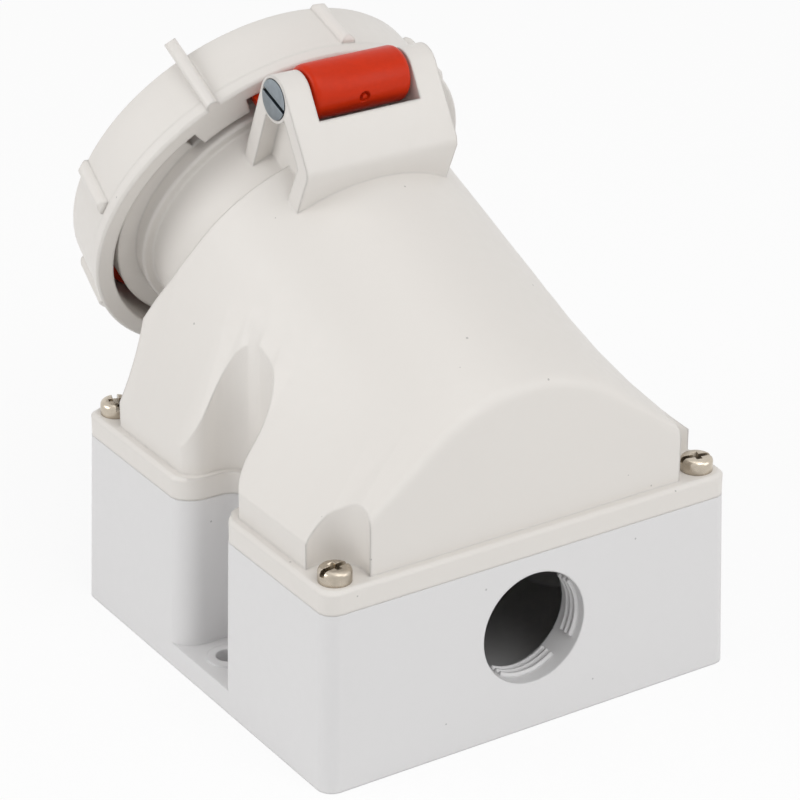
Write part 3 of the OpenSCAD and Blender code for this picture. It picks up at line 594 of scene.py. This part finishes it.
def add_light(name, turn, lift, watts):
    """A square soft light, its direction in degrees."""
    light = bpy.data.lights.new(name, "AREA")
    light.size = LIGHT_SIZE
    light.energy = watts
    obj = bpy.data.objects.new(name, light)
    towards = direction(math.radians(turn), math.radians(lift))
    obj.location = (CAD_BOX[0] + CAD_BOX[1]) / 2 + towards * LIGHT_DISTANCE
    obj.rotation_euler = towards.to_track_quat("Z", "Y").to_euler()
    bpy.context.scene.collection.objects.link(obj)


def add_camera(stage):
    back = direction(stage.azimuth, stage.elevation)
    right = Vector((math.cos(stage.azimuth), math.sin(stage.azimuth), 0))
    up = back.cross(right)
    level = Matrix((right, up, back)).transposed()
    data = bpy.data.cameras.new("camera")
    data.lens = stage.lens
    data.sensor_width = SENSOR_WIDTH
    data.clip_start = NEAREST
    obj = bpy.data.objects.new("camera", data)
    obj.rotation_euler = (level @ Matrix.Rotation(stage.roll, 3, "Z")).to_euler()
    obj.location = Vector(stage.target) + back * stage.distance
    bpy.context.scene.collection.objects.link(obj)
    bpy.context.scene.camera = obj


# Operators

class SOCKET_OT_stage(bpy.types.Operator):
    """Makes the floor, the light and the camera"""

    bl_idname = "socket.stage"
    bl_label = "Stage"

    def execute(self, context):
        stage = context.scene.socket_stage
        add_floor(stage)
        add_world(stage)
        for name, (turn, lift) in LIGHTS.items():
            add_light(f"{name}_light", turn, lift, getattr(stage, name))
        add_camera(stage)
        context.scene.view_settings.view_transform = "Standard"
        return {"FINISHED"}


class SOCKET_OT_box(bpy.types.Operator):
    """Makes the grey box with soft edges"""

    bl_idname = "socket.box"
    bl_label = "Box"

    def execute(self, context):
        moulding("base_box", "box_moulding", "socket", "base_grey")
        return {"FINISHED"}


class SOCKET_OT_thread(bpy.types.Operator):
    """Makes the broken thread in the cable entry"""

    bl_idname = "socket.thread"
    bl_label = "Cable thread"

    def execute(self, context):
        shape = entry_thread(context.scene.socket_sizes)
        shade(add_piece("entry_thread", shape, "socket", "base_grey"))
        return {"FINISHED"}


class SOCKET_OT_cover(bpy.types.Operator):
    """Makes the off-white cover housing with soft edges"""

    bl_idname = "socket.cover"
    bl_label = "Cover"

    def execute(self, context):
        moulding("cover_housing", "cover_moulding", "socket", "cover_white")
        return {"FINISHED"}


class SOCKET_OT_ring(bpy.types.Operator):
    """Makes the bayonet ring with soft edges"""

    bl_idname = "socket.ring"
    bl_label = "Bayonet ring"

    def execute(self, context):
        moulding("bayonet_ring", "ring_moulding", "ring", "cover_white")
        return {"FINISHED"}


class SOCKET_OT_lid(bpy.types.Operator):
    """Makes the red lid with soft edges and finishes its seal"""

    bl_idname = "socket.lid"
    bl_label = "Lid"

    def execute(self, context):
        moulding("lid", "lid_moulding", "lid", "lid_red")
        finish_node("lid_seal", "seal_rubber")
        return {"FINISHED"}


class SOCKET_OT_fasteners(bpy.types.Operator):
    """Makes the cover screws and the hinge pin, and finishes the hidden screws"""

    bl_idname = "socket.fasteners"
    bl_label = "Fasteners"

    def execute(self, context):
        sizes = context.scene.socket_sizes
        for number, turn in enumerate(SCREW_TURNS, 1):
            cover_screw(sizes, f"cover_screw_{number}", f"cheese_screw_{number}", turn)
        moulding("hinge_pin", "slotted_pin", "socket", "zinc_steel")
        for number in range(1, 3):
            finish_node(f"carrier_screw_{number}", "zinc_steel")
        for pole in POLES:
            finish_node(f"terminal_screw_{pole}", "zinc_steel")
        return {"FINISHED"}


class SOCKET_OT_inserts(bpy.types.Operator):
    """Finishes the inserts, contacts, springs and the cover gasket"""

    bl_idname = "socket.inserts"
    bl_label = "Inserts and contacts"

    def execute(self, context):
        finish_node("contact_carrier", "insert_black")
        finish_node("terminal_carrier", "insert_black")
        finish_node("cover_gasket", "seal_rubber")
        for pole in POLES:
            finish_node(f"contact_{pole}", "contact_brass")
            finish_node(f"contact_spring_{pole}", "zinc_steel")
        return {"FINISHED"}


GROUPS = {"socket_sizes": SocketSizes, "socket_colours": SocketColours, "socket_stage": SocketStage}
OPERATORS = (
    SOCKET_OT_stage,
    SOCKET_OT_box,
    SOCKET_OT_thread,
    SOCKET_OT_cover,
    SOCKET_OT_ring,
    SOCKET_OT_lid,
    SOCKET_OT_fasteners,
    SOCKET_OT_inserts,
)


class SOCKET_PT_parts(bpy.types.Panel):
    """Lists the socket's operators and sizes"""

    bl_label = "Industrial wall socket"
    bl_idname = "SOCKET_PT_parts"
    bl_space_type = "VIEW_3D"
    bl_region_type = "UI"
    bl_category = "Socket"

    def draw(self, context):
        for operator in OPERATORS:
            self.layout.operator(operator.bl_idname)
        for key, group in GROUPS.items():
            box = self.layout.box()
            for name in group.__annotations__:
                box.prop(getattr(context.scene, key), name)


CLASSES = (*GROUPS.values(), *OPERATORS, SOCKET_PT_parts)


def register():
    for cls in CLASSES:
        bpy.utils.register_class(cls)
    for key, group in GROUPS.items():
        setattr(bpy.types.Scene, key, PointerProperty(type=group))


def unregister():
    for key in GROUPS:
        delattr(bpy.types.Scene, key)
    for cls in reversed(CLASSES):
        bpy.utils.unregister_class(cls)


def main():
    register()
    bpy.ops.socket.stage()
    bpy.ops.socket.box()
    bpy.ops.socket.thread()
    bpy.ops.socket.cover()
    bpy.ops.socket.ring()
    bpy.ops.socket.lid()
    bpy.ops.socket.fasteners()
    bpy.ops.socket.inserts()


if __name__ == "__main__":
    main()
